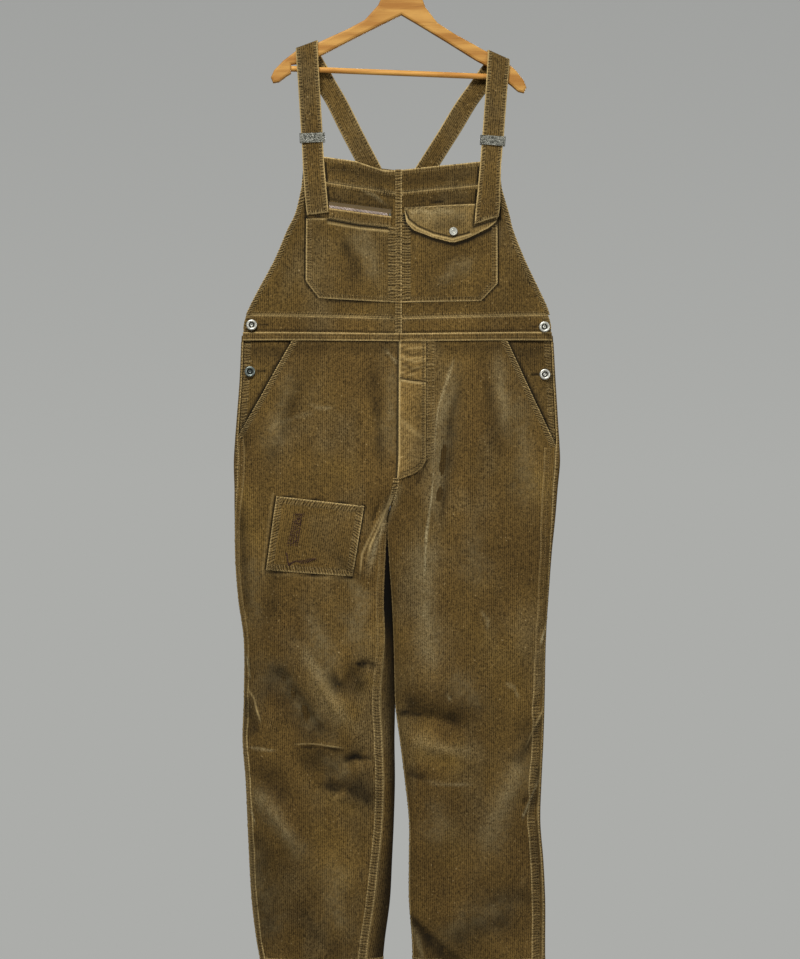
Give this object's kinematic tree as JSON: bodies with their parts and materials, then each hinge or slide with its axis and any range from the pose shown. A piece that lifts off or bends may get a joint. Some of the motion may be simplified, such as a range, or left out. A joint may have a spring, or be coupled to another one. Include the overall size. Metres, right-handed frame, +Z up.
{
  "type": "bib overalls on a clothes hanger",
  "caption": "Worn corduroy bib overalls hanging flat from crossed shoulder straps on a wooden clothes hanger with a wire hook.",
  "frame": {"origin": "inside top of the hanger's hook, where a rail carries it", "axes": "+Z up, the front of the bib looks along -Y, the wearer's left side is at +X"},
  "size_m": [0.5368, 0.0861, 1.6948],
  "materials": {
    "corduroy": "worn olive brown corduroy, pale on ridges and seams",
    "zip_tape": "plain woven tape",
    "old_silver": "tarnished silver metal",
    "beech": "clear lacquered honey beech",
    "steel_wire": "bright plated wire"
  },
  "bodies": {
    "root": {"leg_front_right": "corduroy", "leg_front_left": "corduroy", "leg_back_right": "corduroy", "leg_back_left": "corduroy", "hip_stay_right": "corduroy", "hip_stay_left": "corduroy", "waistband_front_right": "corduroy", "waistband_front_left": "corduroy", "waistband_back": "corduroy", "fly_placket": "corduroy", "thigh_patch": "corduroy", "bib_right": "corduroy", "bib_left": "corduroy", "bib_band_right": "corduroy", "bib_band_left": "corduroy", "chest_pocket_right": "corduroy", "chest_pocket_left": "corduroy", "pocket_zip_welt": "corduroy", "pocket_flap": "corduroy", "back_yoke": "corduroy", "strap_tab_right": "corduroy", "strap_tab_left": "corduroy", "shoulder_strap_right": "corduroy", "shoulder_strap_left": "corduroy", "pocket_zip_tape": "zip_tape", "strap_slide_right": "old_silver", "strap_slide_left": "old_silver", "side_button_upper_right": "old_silver", "side_button_upper_left": "old_silver", "side_button_lower_right": "old_silver", "side_button_lower_left": "old_silver", "flap_snap": "old_silver", "hanger_body": "beech", "hanger_bar": "beech", "hanger_hook": "steel_wire"}
  },
  "joints": []
}
